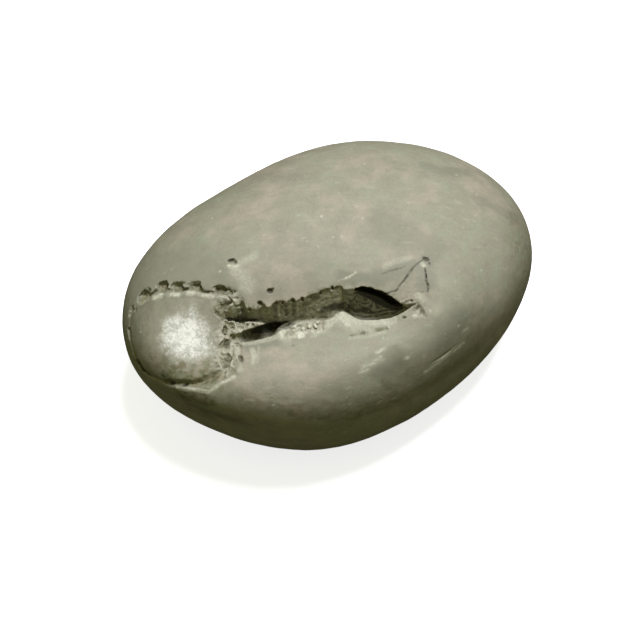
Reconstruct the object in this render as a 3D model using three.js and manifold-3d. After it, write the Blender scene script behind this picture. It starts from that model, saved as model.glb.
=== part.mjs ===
// A shaligram: a river-worn ammonite nodule of black Himalayan shale, in one solid piece.
// Millimetres, +Z up. The stone lies on its worn flat at z = 0, with its long axis along X and the
// blunt end at +X. A whorl of the fossil shows as a round boss at the -X end, and the rest of the
// shell has dissolved and left a ribbed opening across the stone's shoulder.

import * as THREE from "three";
import { mergeVertices } from "three/addons/utils/BufferGeometryUtils.js";
import Module from "manifold-3d";

const wasm = await Module();
wasm.setup();

// ---- The pebble: a squared-off egg, worn flatter in places and fuller in others ----
const HALF_LENGTH = 37.9;
const HALF_WIDTH = 28.85;
const HALF_HEIGHT = 20.4;
const EGG_CENTRE = [-1.83, -1.37];
// 2 is a true ellipse; more is squarer, seen from above and from the side.
const PLAN_SQUARENESS = 2.05;
const SIDE_SQUARENESS = 2.4;
const END_SWELL = 0.04;
const FOOT_WEAR = 0.6;
// Where the river wore the egg down (below zero) or left it full: the way each place faces, how
// far round it spreads, and by how much of its radius.
const WEAR = [
  { azimuth: 14, elevation: -15, spread: 30, swell: 0.105 },
  { azimuth: -145, elevation: -12, spread: 30, swell: -0.136 },
  { azimuth: 110, elevation: 34, spread: 23, swell: -0.065 },
  { azimuth: -67, elevation: -5, spread: 44, swell: -0.141 },
  { azimuth: -75, elevation: 52, spread: 18, swell: 0.113 },
  { azimuth: 94, elevation: 81, spread: 29, swell: 0.071 },
];
// The long shallow hollow that the opening lies in.
const HOLLOW_START = [-27.3, -10.0];
const HOLLOW_END = [4.2, -20.9];
const HOLLOW_DEPTH = 4.8;
const HOLLOW_REACH = 6.7;
const HOLLOW_FADE = 0.4;
const SKIN_DETAIL = 12;

// ---- The opening: its rims, in a level-and-uphill frame on the shoulder ----
const SHOULDER = { origin: [-11.34, -12.04, 35.54], azimuth: -113.5, elevation: 55 };
const UPPER_RIM = [
  [-15.0, 0.5], [-12.0, 0.8], [-8.3, -0.1], [-6.6, 0.9], [-3.2, 1.4], [-0.5, 1.5], [2.6, 3.0],
  [5.8, 4.0], [8.8, 3.6], [11.0, 3.9], [13.6, 3.1], [15.3, 1.7], [17.0, 1.2], [19.0, 1.3],
];
const LOWER_RIM = [
  [-15.0, -0.6], [-12.8, -1.7], [-7.0, -1.9], [-5.6, -2.3], [-3.9, -3.4], [-2.5, -2.9],
  [-0.5, -1.7], [3.2, -1.2], [6.9, 0.3], [7.8, -0.7], [9.6, -1.35], [12.8, -1.3], [15.8, -0.9],
  [17.6, 0.1], [19.0, 1.0],
];
// How far the floor lies below the skin along the lower rim.
const FLOOR_DEPTH = [
  [-15.0, 0.8], [-12.0, 3.4], [-5.0, 5.6], [0.0, 5.6], [6.0, 5.2], [7.4, 5.8], [12.0, 5.4],
  [16.5, 3.2], [19.0, 0.5],
];
const UPPER_RIM_DEPTH = 0.5;
const RIB_PITCH = 2.15;
const RIB_BITE = 0.45;
const RIBBED_TO = 6.4;
const OPENING_STEPS = 72;
const OPENING_ROWS = 4;

// ---- The branch that undercuts the lower rim, between the boss and the opening ----
const BRANCH_UPPER = [[-12.2, -4.4], [-9.6, -3.2], [-6.9, -2.2], [-3.0, -1.7], [-1.6, -1.8]];
const BRANCH_LOWER = [[-12.2, -4.9], [-10.8, -5.2], [-7.9, -4.9], [-5.2, -4.2], [-3.4, -3.3], [-1.6, -2.5]];
const BRANCH_DEPTH = [[-12.2, 1.2], [-9.0, 5.2], [-5.0, 7.4], [-1.6, 6.2]];
const BRANCH_STEPS = 16;

// ---- The slit under the flake at the far end of the opening ----
const SLIT_UPPER = [[7.4, 3.6], [9.8, 4.15], [11.0, 4.1], [13.4, 3.3], [14.9, 2.3], [17.0, 0.9]];
const SLIT_LOWER = [[7.4, 3.1], [9.8, 2.5], [11.6, 1.8], [13.7, 0.7], [15.4, -0.1], [17.0, 0.2]];
const SLIT_DEPTH = [[7.4, 4.0], [9.5, 7.5], [15.0, 7.0], [17.0, 2.6]];
const SLIT_UNDERCUT = 0.3;
const SLIT_STEPS = 14;

// ---- The boss: the outer whorl's rounded end, ringed by a groove with the ribs' sockets ----
const BOSS = { origin: [-32.35, -5.64, 31.17], azimuth: -146.5, elevation: 50 };
// The groove's distance from the middle of the boss, every thirty degrees from level.
const RING_RADII = [10.2, 9.4, 11.4, 9.0, 8.0, 9.2, 10.4, 9.9, 9.7, 8.2, 7.7, 8.8];
const RING_HALF_WIDTHS = [1.0, 0.4, 0.4, 0.45, 0.45, 0.5, 0.6, 0.8, 0.9, 0.8, 0.8, 1.3];
const RING_DEPTHS = [0.8, 0.3, 0.9, 1.4, 1.5, 1.5, 1.3, 1.4, 1.5, 1.1, 1.0, 0.9];
const RING_STEPS = 60;
const SOCKETS = [
  { angle: 74, out: 0.7, length: 1.8, width: 1.2, depth: 1.6 },
  { angle: 97, out: 0.45, length: 1.5, width: 0.95, depth: 1.6 },
  { angle: 117, out: 0.55, length: 1.5, width: 1.0, depth: 1.7 },
  { angle: 137, out: 0.55, length: 1.3, width: 1.1, depth: 1.7 },
  { angle: 161, out: 0.4, length: 1.7, width: 1.1, depth: 1.6 },
  { angle: 183, out: 0.4, length: 1.1, width: 0.8, depth: 1.1 },
  { angle: 203, out: 0.4, length: 1.2, width: 0.8, depth: 1.0 },
  { angle: 225, out: 0.3, length: 1.3, width: 0.9, depth: 1.2 },
  { angle: 250, out: 0.2, length: 1.1, width: 0.8, depth: 1.2 },
  { angle: 290, out: -0.1, length: 0.7, width: 0.8, depth: 1.7 },
  { angle: 315, out: 0.0, length: 0.8, width: 0.7, depth: 1.5 },
];

// ---- Small pits and the cracks of the flake, on the shoulder frame ----
const PITS = [
  { at: [-11.5, 9.0], radius: 0.9, depth: 0.7 },
  { at: [-5.6, 3.4], radius: 0.7, depth: 0.9 },
  { at: [-12.9, -5.4], radius: 0.8, depth: 1.0 },
  { at: [-10.5, -8.1], radius: 0.9, depth: 1.0 },
  { at: [17.2, -1.3], radius: 0.5, depth: 0.6 },
  { at: [19.3, 0.6], radius: 0.7, depth: 0.7 },
];
const CRACKS = [
  { path: [[14.3, 2.9], [15.7, 3.4], [17.5, 5.9], [19.4, 8.1], [20.6, 9.0], [21.4, 8.4]], width: 0.45 },
  { path: [[20.5, 7.2], [20.7, 5.7], [20.9, 4.1], [21.3, 3.1]], width: 0.5 },
  { path: [[20.7, -9.4], [24.0, -7.1], [27.5, -4.8]], width: 1.0 },
];
const CRACK_DEPTH = 0.7;
const CRACK_ROOT = 0.08;
const CRACK_END = 0.25;

// How far a cut's top stands clear of the skin.
const CLEARANCE = 1.5;
const CRACK_CLEARANCE = 0.1;
// How far below and above a frame's plane the skin can lie.
const SKIN_RANGE = [-14, 8];
const SKIN_HALVINGS = 24;

const STONE = new THREE.MeshStandardMaterial({ color: 0x8f8c78, roughness: 0.6, metalness: 0 });

// The way a place faces, from its azimuth and elevation in degrees.
function facing(azimuth, elevation) {
  const lift = THREE.MathUtils.degToRad(elevation);
  const turn = THREE.MathUtils.degToRad(azimuth);
  const level = Math.cos(lift);
  return new THREE.Vector3(level * Math.cos(turn), level * Math.sin(turn), Math.sin(lift));
}

// The value at x of a line through [x, value] points.
function along(points, x) {
  let next = points.findIndex((point) => point[0] >= x);
  if (next < 0) {
    next = points.length - 1;
  }
  next = Math.max(next, 1);
  const [x0, y0] = points[next - 1];
  const [x1, y1] = points[next];
  const share = THREE.MathUtils.clamp((x - x0) / (x1 - x0), 0, 1);
  return THREE.MathUtils.lerp(y0, y1, share);
}

// The value at an angle of a closed ring of evenly spaced values, smoothly joined.
function around(values, angle) {
  const place = THREE.MathUtils.euclideanModulo(angle / (2 * Math.PI), 1) * values.length;
  const index = Math.floor(place) % values.length;
  const share = THREE.MathUtils.smoothstep(place - Math.floor(place), 0, 1);
  return THREE.MathUtils.lerp(values[index], values[(index + 1) % values.length], share);
}

const wornPlaces = WEAR.map((place) => ({ ...place, way: facing(place.azimuth, place.elevation) }));

// How much fuller than the plain egg the stone is in one direction.
function swellTowards(way) {
  let swell = 1;
  for (const place of wornPlaces) {
    const turn = THREE.MathUtils.radToDeg(way.angleTo(place.way));
    swell += place.swell * Math.exp(-((turn / place.spread) ** 2));
  }
  return swell;
}

function eggNorm(q) {
  const plan = Math.abs(q.x) ** PLAN_SQUARENESS + Math.abs(q.y) ** PLAN_SQUARENESS;
  const side = Math.abs(q.z) ** SIDE_SQUARENESS;
  return (plan ** (SIDE_SQUARENESS / PLAN_SQUARENESS) + side) ** (1 / SIDE_SQUARENESS);
}

// How far the long hollow lowers the top at a place.
function hollowAt(x, y, z) {
  const run = new THREE.Vector2(HOLLOW_END[0] - HOLLOW_START[0], HOLLOW_END[1] - HOLLOW_START[1]);
  const length = run.length();
  run.normalize();
  const from = new THREE.Vector2(x - HOLLOW_START[0], y - HOLLOW_START[1]);
  const past = Math.max(-from.dot(run), from.dot(run) - length, 0);
  const aside = from.cross(run);
  const fade = THREE.MathUtils.smoothstep(z, HALF_HEIGHT, HALF_HEIGHT * (1 + HOLLOW_FADE));
  return HOLLOW_DEPTH * fade * Math.exp(-(aside ** 2 + past ** 2) / HOLLOW_REACH ** 2);
}

// The point of the skin that a direction from the egg's middle meets.
function skinTowards(way) {
  const q = way.clone().multiplyScalar(swellTowards(way) / eggNorm(way));
  const x = HALF_LENGTH * q.x + EGG_CENTRE[0];
  const y = HALF_WIDTH * q.y + EGG_CENTRE[1];
  const z = HALF_HEIGHT * (1 + END_SWELL * q.x) * q.z + HALF_HEIGHT - FOOT_WEAR;
  return new THREE.Vector3(x, y, Math.max(z - hollowAt(x, y, z), 0));
}

// Below zero inside the stone, and above zero outside it.
function outside(point) {
  const qx = (point.x - EGG_CENTRE[0]) / HALF_LENGTH;
  const qy = (point.y - EGG_CENTRE[1]) / HALF_WIDTH;
  const unhollowed = point.z + hollowAt(point.x, point.y, point.z + HOLLOW_DEPTH / 2);
  const qz = (unhollowed - HALF_HEIGHT + FOOT_WEAR) / (HALF_HEIGHT * (1 + END_SWELL * qx));
  const q = new THREE.Vector3(qx, qy, qz);
  return eggNorm(q) / swellTowards(q.clone().normalize()) - 1;
}

// A frame on the skin: X level, Y uphill, Z outward.
function skinFrame({ origin, azimuth, elevation }) {
  const out = facing(azimuth, elevation);
  const level = new THREE.Vector3(0, 0, 1).cross(out).normalize();
  const uphill = out.clone().cross(level);
  return new THREE.Matrix4().makeBasis(level, uphill, out).setPosition(...origin);
}

const shoulderFrame = skinFrame(SHOULDER);
const bossFrame = skinFrame(BOSS);

// How far above a frame's plane the skin lies at x, y.
function skinHeight(frame, x, y) {
  let [low, high] = SKIN_RANGE;
  for (let step = 0; step < SKIN_HALVINGS; step += 1) {
    const middle = (low + high) / 2;
    const point = new THREE.Vector3(x, y, middle).applyMatrix4(frame);
    if (outside(point) < 0) {
      low = middle;
    } else {
      high = middle;
    }
  }
  return low;
}

// A closed solid from a geometry whose corners are moved by a function, in a frame.
function solidFrom(geometry, frame, move) {
  const corners = geometry.attributes.position;
  for (let index = 0; index < corners.count; index += 1) {
    const place = move(new THREE.Vector3().fromBufferAttribute(corners, index));
    place.applyMatrix4(frame);
    corners.setXYZ(index, place.x, place.y, place.z);
  }
  geometry.deleteAttribute("normal");
  geometry.deleteAttribute("uv");
  const merged = mergeVertices(geometry, 1e-5);
  const mesh = new wasm.Mesh({
    numProp: 3,
    vertProperties: new Float32Array(merged.attributes.position.array),
    triVerts: new Uint32Array(merged.index.array),
  });
  return new wasm.Manifold(mesh);
}

// A trough between two rims: its floor lies depthAt(x, share) below the skin, where share is 0 at
// the lower rim and 1 at the upper one, and its top clears the skin. It can lean as it deepens.
function trough({ lower, upperAt, depthAt, steps, rows = 1, undercut = 0 }) {
  const start = lower[0][0];
  const end = lower[lower.length - 1][0];
  return solidFrom(new THREE.BoxGeometry(1, 1, 1, steps, rows, 1), shoulderFrame, (corner) => {
    const x = THREE.MathUtils.lerp(start, end, corner.x + 0.5);
    const share = corner.y + 0.5;
    const y = THREE.MathUtils.lerp(along(lower, x), upperAt(x), share);
    const rise = corner.z > 0 ? CLEARANCE : -depthAt(x, share);
    return new THREE.Vector3(x, y - undercut * rise, skinHeight(shoulderFrame, x, y) + rise);
  });
}

// 1 in the middle of a rib's print and 0 between two of them, along the ribbed part of the opening.
function ribAt(x) {
  return x > RIBBED_TO ? 0 : Math.abs(Math.cos((Math.PI * x) / RIB_PITCH));
}

// The rim is notched where the ribs met it, and their prints run down the wall below.
function openingSolid() {
  return trough({
    lower: LOWER_RIM,
    upperAt: (x) => along(UPPER_RIM, x) + RIB_BITE * ribAt(x),
    depthAt: (x, share) => {
      const floor = along(FLOOR_DEPTH, x);
      const wall = THREE.MathUtils.lerp(floor, Math.min(UPPER_RIM_DEPTH, floor), share);
      return wall + RIB_BITE * ribAt(x) * share;
    },
    steps: OPENING_STEPS,
    rows: OPENING_ROWS,
  });
}

function branchSolid() {
  return trough({
    lower: BRANCH_LOWER,
    upperAt: (x) => along(BRANCH_UPPER, x),
    depthAt: (x) => along(BRANCH_DEPTH, x),
    steps: BRANCH_STEPS,
  });
}

function slitSolid() {
  return trough({
    lower: SLIT_LOWER,
    upperAt: (x) => along(SLIT_UPPER, x),
    depthAt: (x) => along(SLIT_DEPTH, x),
    steps: SLIT_STEPS,
    undercut: SLIT_UNDERCUT,
  });
}

function ringSolid() {
  const middle = 3;
  const tube = 1;
  return solidFrom(new THREE.TorusGeometry(middle, tube, 6, RING_STEPS), bossFrame, (corner) => {
    const angle = Math.atan2(corner.y, corner.x);
    const across = Math.hypot(corner.x, corner.y) - middle;
    const radius = around(RING_RADII, angle) + across * around(RING_HALF_WIDTHS, angle);
    const x = radius * Math.cos(angle);
    const y = radius * Math.sin(angle);
    const rise = corner.z > 0 ? CLEARANCE : around(RING_DEPTHS, angle);
    return new THREE.Vector3(x, y, skinHeight(bossFrame, x, y) + corner.z * rise);
  });
}

// A round-bottomed dent: length runs along the x of its own turn.
function dent(frame, x, y, turn, length, width, depth) {
  const skin = skinHeight(frame, x, y);
  return solidFrom(new THREE.SphereGeometry(1, 8, 5), frame, (corner) => {
    const place = new THREE.Vector3(corner.x * length, corner.y * width, corner.z * depth);
    place.applyAxisAngle(new THREE.Vector3(0, 0, 1), turn);
    return place.add(new THREE.Vector3(x, y, skin));
  });
}

function socketSolids() {
  return SOCKETS.map(({ angle, out, length, width, depth }) => {
    const turn = THREE.MathUtils.degToRad(angle);
    const radius = around(RING_RADII, turn) + out;
    const x = radius * Math.cos(turn);
    const y = radius * Math.sin(turn);
    return dent(bossFrame, x, y, turn + Math.PI / 2, length, width, depth);
  });
}

function pitSolids() {
  return PITS.map(({ at, radius, depth }) => dent(shoulderFrame, ...at, 0, radius, radius, depth));
}

// A crack: a V-shaped groove along its path, which tapers to nothing at both ends.
function crackSolids() {
  return CRACKS.map(({ path, width }) => {
    const line = new THREE.CatmullRomCurve3(path.map(([x, y]) => new THREE.Vector3(x, y, 0)));
    const steps = 2 * path.length;
    return solidFrom(new THREE.BoxGeometry(1, 1, 1, steps, 1, 1), shoulderFrame, (corner) => {
      const share = corner.x + 0.5;
      const place = line.getPoint(share);
      const ahead = line.getTangent(share);
      const taper = THREE.MathUtils.lerp(CRACK_END, 1, Math.sin(Math.PI * share));
      const aside = corner.y * (corner.z > 0 ? width * taper : CRACK_ROOT);
      const x = place.x - ahead.y * aside;
      const y = place.y + ahead.x * aside;
      const rise = corner.z > 0 ? CRACK_CLEARANCE : -CRACK_DEPTH * taper;
      return new THREE.Vector3(x, y, skinHeight(shoulderFrame, x, y) + rise);
    });
  });
}

function pebbleSolid() {
  const level = new THREE.Matrix4();
  const ball = new THREE.IcosahedronGeometry(1, SKIN_DETAIL);
  return solidFrom(ball, level, (corner) => skinTowards(corner.normalize()));
}

function meshOf(solid, name, material) {
  const { vertProperties, triVerts } = solid.getMesh();
  const geometry = new THREE.BufferGeometry();
  geometry.setAttribute("position", new THREE.BufferAttribute(vertProperties, 3));
  geometry.setIndex(new THREE.BufferAttribute(triVerts, 1));
  geometry.computeVertexNormals();
  const mesh = new THREE.Mesh(geometry, material);
  mesh.name = name;
  return mesh;
}

let stone = pebbleSolid();
const cuts = [openingSolid(), branchSolid(), slitSolid(), ringSolid()];
for (const cut of [...cuts, ...socketSolids(), ...pitSolids(), ...crackSolids()]) {
  stone = stone.subtract(cut);
}

const group = new THREE.Group();
group.add(meshOf(stone, "shaligram_stone", STONE));
export default group;
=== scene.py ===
import math

import bmesh
import bpy
import numpy as np
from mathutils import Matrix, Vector


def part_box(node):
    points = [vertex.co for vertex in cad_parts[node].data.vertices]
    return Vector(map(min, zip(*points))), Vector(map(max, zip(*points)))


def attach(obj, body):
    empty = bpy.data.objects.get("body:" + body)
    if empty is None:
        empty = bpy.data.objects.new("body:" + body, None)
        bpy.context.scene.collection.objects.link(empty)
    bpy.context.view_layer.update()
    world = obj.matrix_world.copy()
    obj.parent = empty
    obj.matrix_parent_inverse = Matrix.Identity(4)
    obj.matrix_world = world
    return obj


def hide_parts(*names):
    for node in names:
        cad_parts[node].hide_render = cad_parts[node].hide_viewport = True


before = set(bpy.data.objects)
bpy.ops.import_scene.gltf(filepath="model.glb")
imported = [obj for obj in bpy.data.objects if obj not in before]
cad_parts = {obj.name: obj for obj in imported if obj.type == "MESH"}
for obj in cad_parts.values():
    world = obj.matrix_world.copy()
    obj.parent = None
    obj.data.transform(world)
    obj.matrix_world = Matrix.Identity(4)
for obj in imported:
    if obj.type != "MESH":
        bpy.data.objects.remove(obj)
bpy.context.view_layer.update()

# ---- The worn pebble -------------------------------------------------------------------------
# An ammonite's black shale nodule, tumbled in a mountain river to a squared-off egg. Its skin is
# worn flatter in some places and left full in others, and a long hollow runs along its shoulder.
# Lengths are in millimetres until the mesh is made.

MM = 0.001
HALF_SIZE = (37.9, 28.85, 20.4)
EGG_CENTRE = (-1.83, -1.37)
PLAN_SQUARENESS = 2.05
SIDE_SQUARENESS = 2.4
END_SWELL = 0.04
FOOT_WEAR = 0.6
# Each place's azimuth and elevation, how far round it spreads, and its share of the radius.
WEAR = (
    (14, -15, 30, 0.105),
    (-145, -12, 30, -0.136),
    (110, 34, 23, -0.065),
    (-67, -5, 44, -0.141),
    (-75, 52, 18, 0.113),
    (94, 81, 29, 0.071),
)
HOLLOW_START = np.array((-27.3, -10.0))
HOLLOW_END = np.array((4.2, -20.9))
HOLLOW_DEPTH = 4.8
HOLLOW_REACH = 6.7
HOLLOW_FADE = 0.4
# How far the river's wear stays inside the smooth form, and its waves as size and height.
SKIN_WEAR = 0.17
SKIN_WAVES = ((9, 0.1), (3.6, 0.05), (1.1, 0.018))
PIT_SIZE = 0.9
PIT_DEPTH = 0.13
PIT_CLUSTER = 12.0
SKIN_REACH = 1.2


def facing(azimuth, elevation):
    """The unit vector towards an azimuth and elevation in degrees."""
    turn, lift = math.radians(azimuth), math.radians(elevation)
    level = math.cos(lift)
    return np.array((level * math.cos(turn), level * math.sin(turn), math.sin(lift)))


def ease(value, low, high):
    """0 below low and 1 above high, with a smooth step between."""
    share = np.clip((value - low) / (high - low), 0, 1)
    return share * share * (3 - 2 * share)


def higher(first, second, worn):
    """The larger of two fields, with the edge between them rounded."""
    share = np.clip(0.5 + 0.5 * (first - second) / worn, 0, 1)
    return second + (first - second) * share + worn * share * (1 - share)


def hollow_at(points):
    """How far the long hollow lowers the top at each place."""
    run = HOLLOW_END - HOLLOW_START
    length = np.linalg.norm(run)
    run = run / length
    start = points[:, :2] - HOLLOW_START
    on = start @ run
    aside = start[:, 0] * run[1] - start[:, 1] * run[0]
    past = np.maximum(np.maximum(-on, on - length), 0)
    fade = ease(points[:, 2] + HOLLOW_DEPTH / 2, HALF_SIZE[2], HALF_SIZE[2] * (1 + HOLLOW_FADE))
    return HOLLOW_DEPTH * fade * np.exp(-(aside**2 + past**2) / HOLLOW_REACH**2)


def skin_ratio(points):
    """Below zero inside the pebble's smooth skin and above zero outside."""
    x = (points[:, 0] - EGG_CENTRE[0]) / HALF_SIZE[0]
    y = (points[:, 1] - EGG_CENTRE[1]) / HALF_SIZE[1]
    unhollowed = points[:, 2] + hollow_at(points) - HALF_SIZE[2] + FOOT_WEAR
    z = unhollowed / (HALF_SIZE[2] * (1 + END_SWELL * x))
    length = np.sqrt(x * x + y * y + z * z) + 1e-6
    swell = 1.0
    for azimuth, elevation, spread, share in WEAR:
        way = facing(azimuth, elevation)
        cosine = (x * way[0] + y * way[1] + z * way[2]) / length
        turn = np.arccos(np.clip(cosine, -1, 1)) / math.radians(spread)
        swell = swell + share * np.exp(-turn * turn)
    plan = np.abs(x) ** PLAN_SQUARENESS + np.abs(y) ** PLAN_SQUARENESS
    side = np.abs(z) ** SIDE_SQUARENESS
    return (plan ** (SIDE_SQUARENESS / PLAN_SQUARENESS) + side) ** (1 / SIDE_SQUARENESS) / swell - 1


def rises(form, points, step):
    """The form at each point, and how far it rises over one step along each axis."""
    here = form(points)
    rise = np.empty_like(points)
    for axis in range(3):
        ahead = points.copy()
        ahead[:, axis] += step
        rise[:, axis] = form(ahead) - here
    return here, rise


def skin_distance(points):
    """How far outside the smooth skin each point lies, in millimetres near the skin."""
    step = 0.2
    here, rise = rises(skin_ratio, points, step)
    return here * step / np.sqrt((rise**2).sum(1) + 1e-9)


def lumps(points, size, seed):
    """Smooth noise from -1 to 1, with lumps of one size."""
    count = 32
    lattice = np.random.default_rng(seed).uniform(-1, 1, (count, count, count)).astype(np.float32)
    place = points / size
    cell = np.floor(place).astype(np.int32)
    share = (place - cell).astype(np.float32)
    share = share * share * (3 - 2 * share)
    total = 0.0
    for corner in np.ndindex(2, 2, 2):
        weight = 1.0
        for axis in range(3):
            weight = weight * (share[:, axis] if corner[axis] else 1 - share[:, axis])
        index = (cell + corner) % count
        total = total + weight * lattice[index[:, 0], index[:, 1], index[:, 2]]
    return total


def worn_skin(points):
    """The skin with the low waves and small pits that the river left on it."""
    field = skin_distance(points) + SKIN_WEAR
    near = np.abs(field) < SKIN_REACH
    spots = points[near]
    wear = 0.0
    for seed, (size, height) in enumerate(SKIN_WAVES):
        wear = wear + height * lumps(spots, size, seed)
    pitted = ease(lumps(spots, PIT_CLUSTER, 6), -0.1, 0.5)
    wear = wear + PIT_DEPTH * pitted * ease(lumps(spots, PIT_SIZE, 5), 0.7, 0.95)
    field[near] += wear * ease(spots[:, 2], 0.0, 5.0)
    return field


# ---- The opening across the shoulder ---------------------------------------------------------
# The shell dissolved and left a slot with the prints of its ribs down the far wall. It forks round
# a tongue of rock at one end, and at the other it widens to a leaf-shaped cavity under a flake.


# The grid that a place's skin heights are found on, and how far down and up they are looked for.
PLACE_PITCH = 0.5
SEARCH_DOWN = 16.0
SEARCH_UP = 8.0
SEARCH_ROUNDS = 20


class Place:
    """A frame on the skin, X level, Y uphill and Z outward, and the skin's height over it."""

    def __init__(self, origin, azimuth, elevation, reach):
        self.origin = np.array(origin)
        out = facing(azimuth, elevation)
        level = np.cross((0, 0, 1), out)
        level = level / np.linalg.norm(level)
        self.axes = np.stack((level, np.cross(out, level), out))
        self.low, high = np.array(reach)
        lines = (np.arange(a, b + PLACE_PITCH, PLACE_PITCH) for a, b in zip(self.low, high))
        grid_x, grid_y = np.meshgrid(*lines, indexing="ij")
        bottom = np.full(grid_x.size, -SEARCH_DOWN)
        top = np.full(grid_x.size, SEARCH_UP)
        for _ in range(SEARCH_ROUNDS):
            middle = (bottom + top) / 2
            spots = np.stack((grid_x.ravel(), grid_y.ravel(), middle), 1)
            outside = skin_ratio(self.origin + spots @ self.axes) > 0
            top = np.where(outside, middle, top)
            bottom = np.where(outside, bottom, middle)
        self.heights = bottom.reshape(grid_x.shape)

    def local(self, points):
        """The points in this frame."""
        return (points - self.origin) @ self.axes.T

    def depth(self, local):
        """How far below the skin each local point lies."""
        place = (local[:, :2] - self.low) / PLACE_PITCH
        place = np.clip(place, 0, np.array(self.heights.shape) - 1.001)
        cell = place.astype(int)
        share = place - cell
        x, y = cell[:, 0], cell[:, 1]
        near = self.heights[x, y] * (1 - share[:, 1]) + self.heights[x, y + 1] * share[:, 1]
        far = self.heights[x + 1, y] * (1 - share[:, 1]) + self.heights[x + 1, y + 1] * share[:, 1]
        return near * (1 - share[:, 0]) + far * share[:, 0] - local[:, 2]


def inside_box(local, box):
    """Which local points lie inside a box, given by its two corners."""
    return ((local > box[0]) & (local < box[1])).all(1)


SHOULDER = Place((-11.34, -12.04, 35.54), -113.5, 55, ((-22, -16), (42, 28)))
# The room round the opening, how far off the skin a carved field matters, and a field that
# carves nothing.
OPENING_BOX = ((-17, -7.5, -11), (23, 11.5, 99))
NEAR_SKIN = 1.6
NO_CUT = 9.0

UPPER_RIM = (
    (-15, 0.5), (-12, 0.8), (-8.3, -0.1), (-6.6, 0.9), (-3.2, 1.4), (-0.5, 1.5), (2.6, 3),
    (5.8, 3.8), (8.8, 3.6), (11, 4), (13.6, 3.1), (15.3, 1.7), (17, 1.2), (19, 1.3),
)
LOWER_RIM = (
    (-15, -0.6), (-12.8, -1.7), (-7, -1.9), (-5.6, -2.3), (-3.9, -3.4), (-2.5, -2.9),
    (-0.5, -1.7), (3.2, -1.75), (4.8, -1.3), (7, 0.2), (8.3, -1.05), (9.8, -1.45),
    (12.4, -1.6), (14.8, -1.3), (17.1, -0.25), (18.4, 0.7), (19, 1),
)
FLOOR_DEPTH = (
    (-15, 0.8), (-12, 3.4), (-5, 5.2), (-3, 4.7), (0, 4.9), (6, 5.3), (7.4, 6.8),
    (9, 7.6), (12, 7.4), (14, 6.3), (16.5, 3.4), (19, 0.5),
)
UPPER_RIM_DEPTH = 0.5
RIM_WEAR = 0.16
BREAK_WEAR = 0.05
# Where each rib's print starts along the far wall, and how deep it bites.
RIB_PRINTS = (
    (-12, 0.3), (-10.5, 0.45), (-9.2, 0.35), (-7.8, 0.6), (-6.3, -0.35), (-5.1, 0.4),
    (-2.75, 0.45), (-1.2, 0.45), (0.15, 0.4), (2.5, 0.4), (5.05, 0.5), (6.75, 0),
)
# The notches that the rib ends left in the rim, and their half widths.
RIB_ENDS = (
    (-10.1, 0.8, 0.4), (-8.9, 0.2, 0.35), (-7.1, 1.25, 0.45), (-4.4, 1.3, 0.3),
    (-3.3, 1.3, 0.22), (-1.9, 1.7, 0.4), (-0.2, 1.9, 0.36), (1.3, 2.3, 0.28), (3, 3, 0.25),
    (4.9, 3.9, 0.26), (6.4, 3.6, 0.22),
)
BRANCH_UPPER = ((-12.2, -4.4), (-9.6, -3.2), (-6.9, -2.2), (-3, -1.7), (-1.6, -1.8))
BRANCH_LOWER = (
    (-12.2, -4.9), (-10.8, -5.2), (-7.9, -4.9), (-5.2, -4.2), (-3.4, -3.3), (-1.6, -2.5),
)
BRANCH_DEPTH = ((-12.2, 0.7), (-10.6, 1.9), (-8.4, 4.6), (-5, 7), (-3.6, 5.6), (-1.6, 3.6))
BRANCH_UNDERCUT = ((-10, 0.3), (-6, 0.2), (-4.4, -0.2), (-1.6, -0.25))
SLIT_UPPER = ((8.7, 3.7), (9.8, 4.2), (11, 4.1), (13.4, 3.3), (14.9, 2.3), (17, 0.9))
SLIT_LOWER = ((8.7, 3.2), (9.8, 2.6), (11.6, 1.8), (13.7, 0.7), (15.4, -0.1), (17, 0.2))
SLIT_DEPTH = ((8.7, 5), (9.5, 7.8), (15, 7), (17, 2.6))
SLIT_UNDERCUT = 0.3
CAVITY_FROM = 7.0
# The crumbled lip below the slot and the bevelled lip below the cavity.
BEAD_LIP = (-3.4, 3.9)
BEAD_SIZE = 0.85
BEAD_DEPTH = 0.5
BEAD_REACH = 1.9
BEVEL_LIP = (5.6, 16.6)
BEVEL_DEPTH = 0.55
BEVEL_WIDTH = 2.3
# Where the rock beside the opening has crumbled: the path along it and its half width.
CRUMBLED = (
    (((-12.8, -2.8), (-9.6, -2.6), (-6.6, -2.1)), 1.1),
    (((17.4, 0.9), (18.8, 1), (19.7, -0.2)), 1),
)
CRUMBLE_HEIGHT = 0.8
ROUNDING = (-0.54, -0.18, 0.18, 0.54)


def along(line, x):
    """The height at x of a line through its points, with its corners rounded."""
    places, heights = zip(*line)
    return sum(np.interp(x + shift, places, heights) for shift in ROUNDING) / len(ROUNDING)


def rib_at(x):
    """How far the rib prints bite into the far wall at x."""
    starts = np.array([start for start, _ in RIB_PRINTS])
    bites = np.array([bite for _, bite in RIB_PRINTS])
    index = np.clip(np.searchsorted(starts, x) - 1, 0, len(starts) - 2)
    share = np.clip((x - starts[index]) / (starts[index + 1] - starts[index]), 0, 1)
    return bites[index] * np.sqrt(np.sin(math.pi * share) + 1e-6)


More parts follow.
